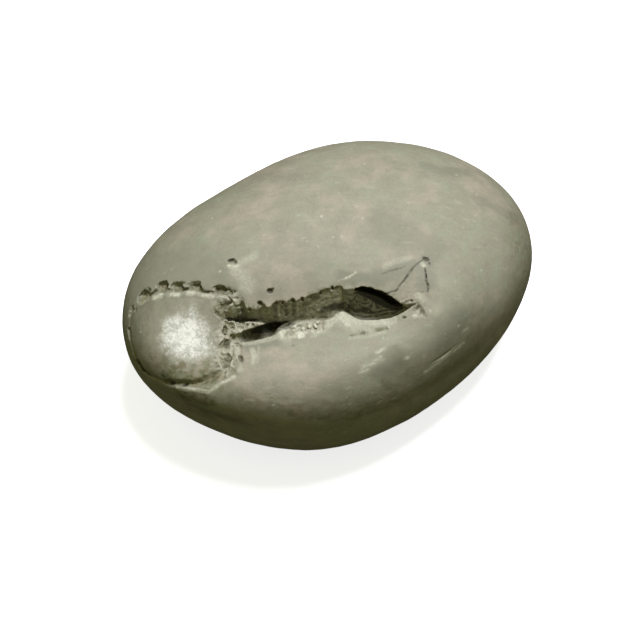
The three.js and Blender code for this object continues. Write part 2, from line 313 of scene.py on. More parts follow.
def granules(points, size, seed):
    """Grains of one size: the height of a flat facet across each, and how far its centre is."""
    count = 16
    random = np.random.default_rng(seed)
    centres = random.uniform(0, 1, (count, count, count, 3))
    slants = random.normal(0, 0.6, (count, count, count, 3))
    steps = random.uniform(-0.5, 0.5, (count, count, count))
    place = points / size
    cell = np.floor(place).astype(int)
    nearest = np.full(len(points), 9.0)
    height = np.zeros(len(points))
    for offset in np.ndindex(3, 3, 3):
        neighbour = cell + np.array(offset) - 1
        index = tuple((neighbour % count).T)
        gap = place - neighbour - centres[index]
        distance = (gap * gap).sum(1)
        closer = distance < nearest
        height = np.where(closer, steps[index] + (gap * slants[index]).sum(1), height)
        nearest = np.minimum(nearest, distance)
    return height, np.sqrt(nearest)


def facets(points, size, seed):
    """The height of a fresh break, with flat facets at random slants."""
    return granules(points, size, seed)[0]


def closed_off(x, line, inside, crossing, under):
    """Below zero inside a hole, down to its floor and as far as its line and its rims reach."""
    cut = higher(inside, under, 2 * RIM_WEAR) + np.maximum(crossing + 0.1, 0)
    return np.where((x < line[0][0]) | (x > line[-1][0]), NO_CUT, cut)


def trough(x, y, depth, lines, undercut=0.0):
    """Below zero inside a trough between two rims and above its floor."""
    lower, upper, floor = (along(line, x) for line in lines)
    lower = lower - undercut * np.maximum(depth, 0)
    inside = higher(y - upper, lower - y, RIM_WEAR)
    return closed_off(x, lines[1], inside, lower - upper, depth - floor)


def dent(x, y, depth, turn, length, width, deep):
    """Below zero inside a round-bottomed dent."""
    on = x * math.cos(turn) + y * math.sin(turn)
    aside = y * math.cos(turn) - x * math.sin(turn)
    ratio = np.sqrt((on / length) ** 2 + (aside / width) ** 2 + (depth / deep) ** 2)
    return (ratio - 1) * min(length, width, deep)


def opening_cut(spots, local, depth):
    """Below zero in the room that the shell left: the slot and cavity, the fork and the slit."""
    rough = lumps(spots, 1.3, 11) + 0.6 * lumps(spots, 0.55, 12)
    chipped = facets(spots, 0.8, 14)
    x = local[:, 0] + 0.25 * lumps(spots, 2.4, 13)
    y = local[:, 1] + 0.1 * rough
    rib = rib_at(x)
    lower, upper = along(LOWER_RIM, x), along(UPPER_RIM, x)
    span = np.maximum(upper - lower, 0.3)
    share = np.clip((y - lower) / span, 0, 1)
    bowl = 1 + 1.5 * ease(x, CAVITY_FROM, CAVITY_FROM + 2)
    floor = along(FLOOR_DEPTH, x)
    rim = np.minimum(UPPER_RIM_DEPTH, floor)
    slope = (floor - rim) / span
    lean = np.sqrt(1 + slope * slope)
    floor = floor + (rim - floor) * share**bowl + rib * share
    floor = floor + (0.16 * chipped + 0.1 * rough) * (1 - 0.7 * ease(x, 7.0, 8.0))
    inside = higher(y - upper - rib, lower - y, RIM_WEAR)
    cut = closed_off(x, UPPER_RIM, inside, lower - upper - rib, (depth - floor) / lean)
    undercut = along(BRANCH_UNDERCUT, x)
    branch = trough(x, y, depth, (BRANCH_LOWER, BRANCH_UPPER, BRANCH_DEPTH), undercut)
    sunk_y = y - SLIT_UNDERCUT * np.maximum(depth, 0)
    slit = trough(x, sunk_y, depth, (SLIT_LOWER, SLIT_UPPER, SLIT_DEPTH))
    cut = np.minimum(np.minimum(cut, branch), slit)
    for at_x, at_y, size in RIB_ENDS:
        cut = np.minimum(cut, dent(x - at_x, y - at_y, depth - 0.3, 0, size, 0.45, 1.1))
    return cut


def path_distance(x, y, path):
    """The distance to a path, and the share of the path's length that lies behind."""
    points = np.array(path)
    runs = np.diff(points, axis=0)
    lengths = np.hypot(runs[:, 0], runs[:, 1])
    nearest = np.full(x.shape, 99.0)
    behind = np.zeros(x.shape)
    walked = 0.0
    for start, run, length in zip(points, runs, lengths):
        on = np.clip(((x - start[0]) * run[0] + (y - start[1]) * run[1]) / length**2, 0, 1)
        gap = np.hypot(x - start[0] - on * run[0], y - start[1] - on * run[1])
        behind = np.where(gap < nearest, walked + on * length, behind)
        nearest = np.minimum(nearest, gap)
        walked += length
    return nearest, behind / walked


def crumbled_lip(x, y):
    """1 on the crumbled lip below the slot, fading to 0 round it."""
    below = along(LOWER_RIM, x) - y
    first, last = BEAD_LIP
    across = ease(below, -0.4, 0.0) * (1 - ease(below, BEAD_REACH * 0.7, BEAD_REACH * 1.15))
    return across * ease(x, first, first + 0.6) * (1 - ease(x, last - 0.8, last))


def grain_gaps(spots):
    """1 in the gaps between the grains of the crumbled lip, fading to 0 on their tops."""
    slant, away = granules(spots, BEAD_SIZE, 16)
    return np.clip(ease(away, 0.25, 0.62) + 0.3 * slant, 0, 1)


def lip_wear(x, y, gaps):
    """How far the lips below the opening are broken down."""
    below = along(LOWER_RIM, x) - y
    first, last = BEVEL_LIP
    bevel = (1 - ease(below, 0.0, BEVEL_WIDTH)) * ease(below, -3.0, -2.0)
    bevel = bevel * ease(x, first, first + 2) * (1 - ease(x, last - 2, last))
    return BEAD_DEPTH * crumbled_lip(x, y) * gaps + BEVEL_DEPTH * bevel


def crumble_at(x, y):
    """1 where the rock round the opening has crumbled, fading to 0 round it."""
    share = np.zeros(x.shape)
    for path, half in CRUMBLED:
        share = np.maximum(share, 1 - ease(path_distance(x, y, path)[0], 0.4 * half, half))
    return share


def carve_opening(points, field):
    """Cuts the opening into the field, and wears and crumbles its lips."""
    local = SHOULDER.local(points)
    near = inside_box(local, OPENING_BOX) & (field < NEAR_SKIN)
    spots = points[near]
    local = local[near]
    depth = SHOULDER.depth(local)
    x, y = local[:, 0], local[:, 1]
    crumbled = crumble_at(x, y) * (0.35 + facets(spots, 0.95, 17)) * CRUMBLE_HEIGHT
    worn = field[near] + lip_wear(x, y, grain_gaps(spots)) + np.maximum(crumbled, 0)
    field[near] = higher(worn, -opening_cut(spots, local, depth), RIM_WEAR)
    return field


# ---- The boss --------------------------------------------------------------------------------
# The outer whorl's round end, which a groove sets off from the rock. Where the ribs ran into the
# rock, the groove's outer side has a row of deep sockets, and towards the slot it is all broken.

BOSS = Place((-32.35, -5.64, 31.17), -146.5, 50, ((-18, -18), (18, 18)))

RING_RADII = (10.2, 9.4, 11.4, 9, 8, 9.2, 10.4, 9.9, 9.7, 8.2, 7.7, 8.8)
RING_HALF_WIDTHS = (1, 0.4, 0.4, 0.45, 0.45, 0.45, 0.5, 0.6, 0.8, 0.8, 0.9, 1.1)
RING_DEPTHS = (0.9, 0.5, 0.9, 1.4, 1.5, 1.2, 0.35, 0.5, 1.2, 0.6, 0.9, 1.3)
# Each socket's place round the boss, how far outside the groove it lies, its half sizes along and
# across, its depth, and its turn away from the groove.
SOCKETS = (
    (74, 0.9, 1.4, 0.75, 1.5, 45),
    (97, 0.45, 1.4, 0.85, 1.5, 15),
    (117, 0.55, 1.5, 1, 1.7, 0),
    (137, 0.55, 1.3, 1.1, 1.7, 0),
    (161, 0.4, 1.7, 1.1, 1.6, 0),
    (183, 0.4, 0.9, 0.6, 0.8, 0),
    (203, 0.4, 1, 0.6, 0.8, 0),
    (233, 0.3, 1.3, 0.5, 1.3, 0),
    (250, 0.2, 0.9, 0.4, 1.1, 0),
    (288, 0, 0.55, 0.5, 1.3, 0),
    (307, 0, 0.5, 0.5, 1.3, 0),
    (357, 0.2, 1.1, 0.9, 1, 0),
)
BOSS_REACH = 16.0
BOSS_DEPTH = 9.0
LIP_HEIGHT = 0.1
BREAK_HEIGHT = 0.75
BREAK_CHIPS = 45
RING_CHIPS = 110


def around(values, angle):
    """The value at an angle of a ring of evenly spaced values."""
    values = np.array(values)
    place = (angle / (2 * math.pi) % 1) * len(values)
    index = place.astype(int) % len(values)
    share = ease(place - np.floor(place), 0, 1)
    return values[index] * (1 - share) + values[(index + 1) % len(values)] * share


def broken_band(x, y):
    """1 in the broken ground between the boss and the slot, fading to 0 round it."""
    angle = np.degrees(np.arctan2(y, x))
    out = np.hypot(x, y) - around(RING_RADII, np.radians(angle))
    across = ease(out, -3.2, -2.2) * (1 - ease(out, 1.0, 2.2))
    return across * ease(angle, -16, -6) * (1 - ease(angle, 66, 76))


def break_depth(spots):
    """How far below the skin the broken ground lies."""
    large, small = facets(spots, 1.9, 26), facets(spots, 0.8, 27)
    return np.maximum(BREAK_HEIGHT * (0.4 + 0.85 * large + 0.4 * small), 0)


def scoops(x, y, depth, chips):
    """Below zero inside round chips, each given by its place, radius and lift off the skin."""
    cut = np.full(x.shape, NO_CUT)
    for at_x, at_y, radius, lift in chips:
        gap = np.sqrt((x - at_x) ** 2 + (y - at_y) ** 2 + (depth + lift) ** 2)
        cut = np.minimum(cut, gap - radius)
    return cut


def broken_chips():
    """Round chips strewn over the broken ground."""
    random = np.random.default_rng(24)
    chips = []
    while len(chips) < BREAK_CHIPS:
        x, y = random.uniform(4, 14), random.uniform(-6, 11)
        radius = random.uniform(0.5, 1.3)
        if broken_band(np.array([x]), np.array([y]))[0] > 0.6:
            chips.append((x, y, radius, radius * random.uniform(0.45, 0.75)))
    return chips


def ring_chips():
    """Small flakes lost along both edges of the groove."""
    random = np.random.default_rng(25)
    chips = []
    for angle in random.uniform(0, 2 * math.pi, RING_CHIPS):
        side = random.choice((-1, 1))
        half = around(RING_HALF_WIDTHS, np.array([angle]))[0]
        out = around(RING_RADII, np.array([angle]))[0] + side * (half + random.uniform(-0.1, 0.3))
        radius = random.uniform(0.25, 0.6)
        chips.append((out * math.cos(angle), out * math.sin(angle), radius, radius * 0.5))
    return chips


BREAK_SCOOPS = broken_chips()
RING_SCOOPS = ring_chips()


def carve_boss(points, field):
    """Cuts the groove and its sockets round the boss, and breaks the ground towards the slot."""
    local = BOSS.local(points)
    near = (np.hypot(local[:, 0], local[:, 1]) < BOSS_REACH) & (local[:, 2] > -BOSS_DEPTH)
    near &= field < NEAR_SKIN
    spots = points[near]
    local = local[near]
    depth = BOSS.depth(local)
    rough = lumps(spots, 1.2, 21) + 0.5 * lumps(spots, 0.5, 22)
    chipped = facets(spots, 0.9, 28)
    x = local[:, 0] + 0.15 * rough
    y = local[:, 1] + 0.12 * lumps(spots, 1.0, 23)
    angle = np.arctan2(y, x)
    out = np.hypot(x, y) - around(RING_RADII, angle)
    half, deep = around(RING_HALF_WIDTHS, angle), around(RING_DEPTHS, angle)
    cut = (np.abs(out) * deep + depth * half - half * deep) / np.hypot(half, deep)
    for degrees, away, length, width, socket_deep, twist in SOCKETS:
        turn = math.radians(degrees)
        radius = around(RING_RADII, np.array([turn]))[0] + away
        place = (x - radius * math.cos(turn), y - radius * math.sin(turn))
        socket_turn = math.radians(degrees + 90 + twist)
        socket = dent(*place, depth, socket_turn, length, width, socket_deep)
        cut = np.minimum(cut, socket + 0.14 * rough + 0.22 * chipped)
    lip = np.exp(-(((out + 0.9) / 0.4) ** 2)) * ease(np.sin(angle - 0.3), 0.0, 0.5)
    worn = field[near] - LIP_HEIGHT * lip + broken_band(x, y) * break_depth(spots)
    worn = higher(worn, -cut, RIM_WEAR)
    chips = np.minimum(scoops(x, y, depth, BREAK_SCOOPS), scoops(x, y, depth, RING_SCOOPS))
    field[near] = higher(worn, -chips, BREAK_WEAR)
    return field


# ---- Pits and cracks -------------------------------------------------------------------------
# Small pits where grains fell out, chips along the worn edges, and the open cracks round the
# flake beside the cavity.

# The room that all of these lie in, given by its two corners.
SMALL_BOX = ((-19, -13, -99), (29, 13, 99))
# Each pit's place, half sizes along and across, depth and turn in degrees.
PITS = (
    (-12.2, 8.6, 0.75, 0.34, 0.8, 14),
    (-11.5, 8.3, 0.4, 0.3, 0.6, -50),
    (-5.6, 3.4, 0.55, 0.48, 0.9, 0),
    (-5.1, 3.7, 0.3, 0.24, 0.5, 30),
    (-12.9, -5.4, 0.8, 0.6, 1, 40),
    (-10.5, -8.1, 0.75, 0.5, 0.9, -60),
    (17.1, -1.1, 0.4, 0.3, 0.45, 0),
    (19.3, 0.6, 0.5, 0.3, 0.6, 60),
    (18.3, 1.7, 0.4, 0.3, 0.5, -20),
    (20.8, 8.8, 0.75, 0.36, 0.6, -24),
    (21.4, 8.1, 0.4, 0.2, 0.4, -70),
    (-1.5, 5.4, 0.3, 0.16, 0.3, 10),
    (-1.6, -5.8, 0.5, 0.18, 0.25, 15),
    (8.2, -4.1, 0.45, 0.2, 0.2, 5),
    (9.1, -3.9, 0.25, 0.16, 0.15, 0),
    (10.1, -3.7, 0.5, 0.34, 0.28, 10),
    (12.9, -3.3, 0.42, 0.2, 0.2, 12),
    (14.1, -2.9, 0.34, 0.15, 0.18, 20),
)
# Each crack's path, width and depth.
CRACKS = (
    (
        (
            (14.5, 3), (15.2, 3.3), (15.8, 3.4), (16.2, 4.2), (16.8, 4.8), (17.6, 5.9),
            (18.2, 6.7), (18.9, 7.6), (19.6, 8.2), (20.4, 8.8),
        ),
        0.4,
        0.6,
    ),
    (((20.6, 7.3), (20.8, 6), (20.85, 5), (21.1, 4.3), (21.1, 3.3)), 0.44, 0.8),
    (((21.1, 3.2), (20.2, 3.1), (19.1, 3)), 0.28, 0.3),
    (((20.5, -9.9), (24, -7.5), (27.3, -4.9)), 0.95, 0.5),
    (((21.2, -8.2), (23.4, -6.6), (24.8, -5.7)), 0.6, 0.25),
    (((5.9, 4.9), (7.4, 5.4), (8.9, 6.2)), 0.3, 0.15),
    (((13.2, 6.2), (14.6, 6.7), (16.6, 7.2), (18.8, 7.9)), 0.4, 0.25),
)
# Stretches that are chipped: the path along them, how many chips, how wide and how big.
CHIPPED = (
    (UPPER_RIM[1:-1], 90, 0.25, 0.45),
    (BRANCH_LOWER, 30, 0.2, 0.45),
    (BRANCH_UPPER, 30, 0.3, 0.5),
    (LOWER_RIM[1:6], 40, 0.4, 0.5),
    (LOWER_RIM[6:9], 20, 0.5, 0.35),
    (((8.3, -4), (12.4, -3.4), (14.6, -2.7)), 12, 0.25, 0.2),
    (((-14.4, 2.2), (-12.3, 1.5), (-10.4, 1), (-8, 0.4)), 26, 0.3, 0.45),
    (((17.2, 0.6), (18.6, 1.2), (19.8, 0)), 30, 0.6, 0.4),
    (((20, 8), (21, 8.2)), 8, 0.25, 0.22),
    (((19.6, 2.8), (21, 2.9)), 10, 0.35, 0.35),
    (((-12.6, 7.7), (-10.4, 7.6)), 8, 0.25, 0.22),
    (((16.4, -4.9), (18.2, -6)), 26, 0.4, 0.2),
    (((9.6, -7.8), (12.6, -10)), 40, 0.9, 0.25),
)


def chips_along():
    """Chips strewn along each chipped stretch."""
    random = np.random.default_rng(33)
    chips = []
    for path, count, spread, size in CHIPPED:
        points = np.array(path)
        walked = np.insert(np.cumsum(np.hypot(*np.diff(points, axis=0).T)), 0, 0)
        for on in random.uniform(0, walked[-1], count):
            x = np.interp(on, walked, points[:, 0]) + random.normal(0, spread)
            y = np.interp(on, walked, points[:, 1]) + random.normal(0, spread)
            radius = size * random.uniform(0.45, 1.1)
            chips.append((x, y, radius, radius * random.uniform(0.35, 0.8)))
    return chips


EDGE_SCOOPS = chips_along()


def carve_small(points, field):
    """Cuts the pits, the cracks and the chips along edges."""
    local = SHOULDER.local(points)
    near = inside_box(local, SMALL_BOX) & (np.abs(field) < NEAR_SKIN)
    spots = points[near]
    local = local[near]
    depth = SHOULDER.depth(local)
    x = local[:, 0] + 0.1 * lumps(spots, 0.9, 31)
    y = local[:, 1] + 0.1 * lumps(spots, 0.9, 32)
    cut = np.full(x.shape, NO_CUT)
    for at_x, at_y, length, width, deep, turn in PITS:
        pit = dent(x - at_x, y - at_y, depth, math.radians(turn), length, width, deep)
        cut = np.minimum(cut, pit)
    for path, width, deep in CRACKS:
        gap, behind = path_distance(x, y, path)
        taper = 0.3 + 0.7 * np.sin(math.pi * behind)
        half, deep = width / 2 * taper, deep * taper
        cut = np.minimum(cut, (gap * deep + depth * half - half * deep) / np.hypot(half, deep))
    cut = np.minimum(cut, scoops(x, y, depth, EDGE_SCOOPS))
    field[near] = higher(field[near], -cut, BREAK_WEAR)
    return field


def stone_field(points):
    """Below zero inside the stone, in millimetres near its surface."""
    field = worn_skin(points)
    field = carve_opening(points, field)
    field = carve_boss(points, field)
    field = carve_small(points, field)
    return np.maximum(field, -points[:, 2])


# ---- The stone's mesh ------------------------------------------------------------------------
# One closed surface, drawn where the field above is zero and cut level where the stone rests.

CELL = 0.2
BLOCK = 5
BLOCKS_AT_ONCE = 4000
FILL_ROUNDS = 12
FACE_LIMIT = 196000
# Scuffed and broken patches that keep their detail: their middles and half sizes.
BUSY_PATCHES = (((-9, -5.5), (5, 5.5)), ((11.2, -8.9), (2.4, 1.6)))
# How deep in the slot and in the cavity detail is kept.
BUSY_DEPTH = 5.5
BUSY_CAVITY_DEPTH = 9


def sample_volume():
    """The field on a grid of cells, exact wherever the surface can pass."""
    box_low, box_high = (np.array(corner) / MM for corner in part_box("shaligram_stone"))
    low = box_low - 2 * CELL
    size = CELL * BLOCK
    blocks = np.ceil((box_high + 2 * CELL - low) / size).astype(int)
    corners = np.indices(blocks).reshape(3, -1).T
    middle_field = stone_field(low + (corners + 0.5) * size)
    active = np.flatnonzero(np.abs(middle_field) < 1.5 * size)
    steps = np.indices((BLOCK, BLOCK, BLOCK)).reshape(3, -1).T * CELL
    volume = np.repeat(np.where(middle_field < 0, -1.0, 1.0)[:, None], BLOCK**3, 1)
    volume = volume.astype(np.float32)
    for part in np.array_split(active, max(1, len(active) // BLOCKS_AT_ONCE)):
        spots = (low + corners[part] * size)[:, None, :] + steps[None, :, :]
        values = stone_field(spots.reshape(-1, 3))
        volume[part] = values.reshape(len(part), -1)
    volume = volume.reshape(*blocks, BLOCK, BLOCK, BLOCK).transpose(0, 3, 1, 4, 2, 5)
    return np.ascontiguousarray(volume.reshape(*(blocks * BLOCK))), low


def shifted(grid, offset):
    """The grid without its last or first layer on each axis where the offset says 0 or 1."""
    return grid[tuple(slice(None) if step is None else slice(step, size - 1 + step)
                      for step, size in zip(offset, grid.shape))]


def corners_inside(inside):
    """How many corners of each cell are inside the stone."""
    return sum(shifted(inside, corner).astype(np.int8) for corner in np.ndindex(2, 2, 2))


def filled(volume):
    """The volume, filled in where the stone would touch itself along a bare edge or corner."""
    inside = volume < 0
    for _ in range(FILL_ROUNDS):
        added = np.zeros_like(inside)
        for axis in range(3):
            ring = [list(pair) for pair in ((0, 0), (1, 0), (1, 1), (0, 1))]
            for offset in ring:
                offset.insert(axis, None)
            first, second, third, fourth = (shifted(inside, offset) for offset in ring)
            touching = (first == third) & (second == fourth) & (first != second)
            for offset in ring:
                shifted(added, offset)[touching] = True
        corners = list(np.ndindex(2, 2, 2))
        count = corners_inside(inside)
        for corner in corners[:4]:
            ends = (corner, tuple(1 - step for step in corner))
            first, second = (shifted(inside, end) for end in ends)
            touching = (first == second) & (count == np.where(first, 2, 6))
            for end in corners:
                shifted(added, end)[touching] = True
        added &= ~inside
        if not added.any():
            break
        inside |= added
    return np.where(inside & (volume >= 0), -0.1 * CELL, volume)


def surface_of(volume, low):
    """One corner in each cell that the surface crosses, and a quad over each crossed edge."""
    inside = volume < 0
    crossed = corners_inside(inside)
    cells = np.argwhere((crossed > 0) & (crossed < 8))
    offsets = list(np.ndindex(2, 2, 2))
    values = np.stack([volume[tuple((cells + offset).T)] for offset in offsets], 1)
    total = np.zeros((len(cells), 3))
    count = np.zeros(len(cells))
    for first, start in enumerate(offsets):
        for second, end in enumerate(offsets):
            if second <= first or sum(abs(np.subtract(start, end))) != 1:
                continue
            a, b = values[:, first], values[:, second]
            crosses = (a < 0) != (b < 0)
            share = np.where(crosses, a / np.where(crosses, a - b, 1), 0)
            spot = np.array(start) + share[:, None] * np.subtract(end, start)
            total += spot * crosses[:, None]
            count += crosses
    corners = low + (cells + total / count[:, None]) * CELL
    number = np.full(crossed.shape, -1, dtype=np.int32)
    number[tuple(cells.T)] = np.arange(len(cells))
    quads = []
    for axis in range(3):
        ahead = np.delete(np.roll(inside, -1, axis), -1, axis)
        here = np.delete(inside, -1, axis)
        edges = np.argwhere(ahead != here)
        side, other = (axis + 1) % 3, (axis + 2) % 3
        ring = []
        for back_side, back_other in ((0, 0), (1, 0), (1, 1), (0, 1)):
            cell = edges.copy()
            cell[:, side] -= back_side
            cell[:, other] -= back_other
            ring.append(number[tuple(cell.T)])
        quad = np.stack(ring, 1)
        outward = here[tuple(edges.T)]
        quad[~outward] = quad[~outward][:, ::-1]
        quads.append(quad)
    return corners, np.concatenate(quads)


def settle(corners):
    """Moves each corner onto the surface."""
    step = 0.05
    for _ in range(2):
        here, rise = rises(stone_field, corners, step)
        slope = rise / step
        steep = np.maximum((slope**2).sum(1), 0.25)
        move = -slope * (here / steep)[:, None]
        length = np.linalg.norm(move, axis=1, keepdims=True)
        move *= np.minimum(1, 0.5 * CELL / np.maximum(length, 1e-9))
        corners = corners + move
    corners[:, 2] = np.maximum(corners[:, 2], 0)
    return corners


def largest_piece(mesh):
    """Takes away the stray bits that the chips left loose."""
    shape = bmesh.new()
    shape.from_mesh(mesh)
    unseen, pieces = set(shape.verts), []
    while unseen:
        waiting, piece = [unseen.pop()], []
        while waiting:
            corner = waiting.pop()
            piece.append(corner)
            linked = {edge.other_vert(corner) for edge in corner.link_edges} & unseen
            unseen -= linked
            waiting.extend(linked)
        pieces.append(piece)
    pieces.sort(key=len)
    strays = [corner for piece in pieces[:-1] for corner in piece]
    bmesh.ops.delete(shape, geom=strays, context="VERTS")
    shape.to_mesh(mesh)
    shape.free()


def mesh_from(name, corners, faces):
    """A mesh from corners in millimetres and faces with equal numbers of sides."""
    mesh = bpy.data.meshes.new(name)
    mesh.vertices.add(len(corners))
    mesh.vertices.foreach_set("co", (corners * MM).astype(np.float32).ravel())
    mesh.loops.add(faces.size)
    mesh.loops.foreach_set("vertex_index", faces.astype(np.int32).ravel())
    mesh.polygons.add(len(faces))
    mesh.polygons.foreach_set("loop_start", np.arange(len(faces), dtype=np.int32) * faces.shape[1])
    mesh.update(calc_edges=True)
    mesh.validate()
    return mesh


def shown(name, data):
    """A new object in the scene."""
    piece = bpy.data.objects.new(name, data)
    bpy.context.scene.collection.objects.link(piece)
    return piece


def busy(corners):
    """Which corners lie on fine detail that the mesh keeps whole."""
    local = SHOULDER.local(corners)
    x, y = local[:, 0], local[:, 1]
    above = y - along(UPPER_RIM, x)
    below = along(LOWER_RIM, x) - y
    keep = (above < 1.2) & (below < 2.8) & (x > -16) & (x < 20.5)
    for middle, half in BUSY_PATCHES:
        keep |= (np.abs(local[:, :2] - middle) < half).all(1)
    boss = BOSS.local(corners)
    out = np.hypot(boss[:, 0], boss[:, 1]) - around(RING_RADII, np.arctan2(boss[:, 1], boss[:, 0]))
    keep |= (np.abs(out) < 2.2) & (boss[:, 2] > -BOSS_DEPTH)
    depth = SHOULDER.depth(local)
    for path, _, _ in CRACKS:
        keep |= path_distance(x, y, path)[0] < 0.7
    for at_x, at_y, length, *_ in PITS:
        keep |= np.hypot(x - at_x, y - at_y) < length + 0.5
    keep &= (depth < BUSY_DEPTH) | ((x > CAVITY_FROM) & (depth < BUSY_CAVITY_DEPTH))
    return keep & (local[:, 2] > -12)


def thinned(piece, faces, keep):
    """The piece with edges collapsed, first where it has no fine detail."""
    group = piece.vertex_groups.new(name="plain")
    group.add([int(number) for number in np.flatnonzero(~keep)], 1.0, "REPLACE")
    solid = piece.modifiers.new("triangles", "TRIANGULATE")
    solid.quad_method = "BEAUTY"
    thin = piece.modifiers.new("thin", "DECIMATE")
    thin.ratio = min(1.0, faces / (2 * len(piece.data.polygons)))
    thin.vertex_group = "plain"
    thin.vertex_group_factor = 1.0
    graph = bpy.context.evaluated_depsgraph_get()
    mesh = bpy.data.meshes.new_from_object(piece.evaluated_get(graph), depsgraph=graph)
    piece.modifiers.clear()
    piece.vertex_groups.clear()
    old, piece.data = piece.data, mesh
    bpy.data.meshes.remove(old)
    return piece


volume, volume_low = sample_volume()
stone_corners, stone_faces = surface_of(filled(volume), volume_low)
stone_corners = settle(stone_corners)
stone = shown("stone", mesh_from("stone", stone_corners, stone_faces))
stone = thinned(stone, FACE_LIMIT, busy(stone_corners))
largest_piece(stone.data)
stone.data.polygons.foreach_set("use_smooth", [True] * len(stone.data.polygons))

# ---- The stone's colours ---------------------------------------------------------------------
# The shale is grey with an olive cast. It is chalky where it is broken or scuffed, nearly white
# where the boss is rubbed, and dark with old dirt in its hollows and cracks. Shade is painted in
# too: darker where the surface is sunk, in sharp hollows, cracks and pits, near black deep in the
# fork, the slit and the slot, and greyer on parts of the plain skin. Some lips and rib edges are
# painted paler as highlight.

# Marks, each with its half width, its strength, and then the x and y of each point along it.
# First the pale ones: chalky scuffs and broken rock, with painted highlight on the lips below the
# slot and round the boss, and along the rib prints on the far wall.
PALE_ON_SHOULDER = (
    (1.25, 1.2, -3.1, -3.7, -1, -3, 0.5, -2.7, 2.5, -2.6),
    (0.75, 0.75, 2, -2.6, 4.6, -2, 6.4, -0.9),
    (0.4, 1.4, -0.6, -4.3, -0.1, -4.1),
    (0.35, 0.5, -10.8, -5.6, -7.9, -5.3, -5.2, -4.6, -3.4, -3.8),
    (0.7, 0.6, 5.4, -0.6, 6.8, -0.6, 8.2, -1.6, 10.2, -1.9, 13, -1.9, 15.2, -1.4),
    (1.1, 0.3, 6.4, -1.4, 8.4, -2.7, 10.6, -2.9),
    (0.8, 0.85, 6, -0.6, 6.7, -0.8, 7.4, -1.9),
    (0.7, 0.25, -12.4, -3, -9.6, -2.7, -6.9, -2.15),
    (1.2, 0.5, -11.2, 6.8, -9.9, 5.4, -9.4, 4.2),
    (0.3, 1, -12.6, 7.7, -11.4, 7.5, -10.7, 7.7),
    (0.6, 0.4, -10.6, 8.2, -8, 9.4),
    (0.4, 0.6, -8.6, -6.6, -8.2, -7.4, -8.4, -8.6),
    (0.22, 0.3, -7.4, -6, -7.7, -8.6),
    (0.6, 0.4, -11.2, -8.2, -10.6, -9.8),
    (0.36, 0.75, 20.1, 8, 20.5, 7.6),
    (0.6, 0.6, 19.4, 2.5, 20.4, 2),
    (1, 0.2, 19.6, 1.6, 22.2, 0.2),
    (0.12, 0.5, 5.9, 5.1, 7.4, 5.6),
    (0.17, 0.9, 7.2, 5.5, 8, 5.9, 8.9, 6.5),
    (0.3, 0.7, 20.8, -10.4, 24.2, -8, 27.5, -5.5),
    (0.35, 1, 18.9, -0.8, 19.2, -0.7),
    (0.35, 0.45, -5.8, 1, -5.7, -0.9),
    (0.18, 0.35, -4.1, 1.1, -4.1, -0.7),
    (0.22, 0.4, -0.9, 1.2, -0.9, -0.9),
    (0.4, 0.6, 6.2, 3.8, 6.1, 1.7),
    (0.6, 0.26, 7.6, 4.3, 7.9, 2.4),
    (0.9, 0.34, -14.2, 1.2, -11.4, 0.7, -8.8, -0.4, -6, -0.3),
    (0.6, 0.2, 11.6, 1.7, 14, 1.3, 16.2, 0.8),
    (0.45, 0.32, 13.7, 7.5, 15.6, 8.4, 18, 9),
    (0.3, 0.35, 8, -4.6, 10.6, -4.3, 13.8, -3.6),
    (0.4, 0.15, 16.4, -5.3, 18, -6.1),
    (0.35, 0.25, -7, -14.6, -3.5, -15.3, 0.5, -15.2),
    (0.8, 0.34, 10.2, -9.6, 12.8, -8.2),
    (0.2, 0.7, 9.4, -10.4, 11, -9.8),
    (0.22, 0.8, 10.2, -9.3, 12.2, -8.7),
    (0.2, 0.6, 11.9, -8.3, 13.1, -7.7),
    (0.26, 0.8, 12.6, -6.9, 13.7, -6.3),
    (0.24, 0.8, 17.2, -8, 17.7, -7.8),
    (0.24, 0.6, 27.5, -3.3, 28.1, -3),
    (0.9, 0.26, 0.2, -0.2, 3, 1.2, 5.6, 2.6),
)
PALE_ON_BOSS = (
    (0.35, 0.6, -9.1, 2.2, -8.6, 3.4),
    (0.42, 1, -7.2, 4.1, -5.9, 5.1),
    (0.38, 1, -4.3, 6.2, -3, 6.7),
    (0.38, 1, -1.5, 7.7, -0.7, 8.1),
    (0.4, 0.8, 1, 8.5, 2.6, 9),
    (0.34, 0.9, 3.7, -7.7, 6.9, -6.4, 9.6, -5.4, 10.8, -3.3, 12.6, -1),
)
# Dark marks: smudges, holes and cracks, with painted shade in a notch and between the rib prints
# on the far wall.
DARK_ON_SHOULDER = (
    (0.55, 0.75, 3.4, 0.2, 5, 0.6, 6.7, 1),
    (0.45, 0.6, 7.6, 0.1, 8.2, 1),
    (0.75, 0.22, -11.2, -0.4, -9.2, -0.5),
    (0.3, 0.35, -7.4, 0.3, -7.2, -1.2),
    (0.4, 0.45, -4.8, 1, -4.6, -0.9),
    (0.28, 0.45, -2.9, 1, -2.7, -1.1),
    (0.22, 0.4, -1.8, 1.3, -1.6, -0.6),
    (0.22, 0.35, 0.3, 1.5, 0.4, 0.3),
    (0.35, 0.4, 1.6, 2, 2.6, 2.3),
    (0.14, 0.35, 13.4, 6.3, 14.6, 6.7, 16.6, 7.2),
    (0.16, 0.8, 14, 3, 15.8, 3.5),
)
DARK_ON_BOSS = (
    (0.3, 1, -6.3, -7.9, -4.6, -8.6, -3, -8.6),
    (0.3, 0.9, 2.2, -7.6, 2.7, -7.2),
    (0.28, 0.9, 4.7, -6.7, 5.1, -6.3),
)
# Old dirt on the slope at the opening's end.
DIRT_ON_SHOULDER = ((1.3, 0.5, -14.4, 0.4, -11.5, 0.5, -9, -0.3),)
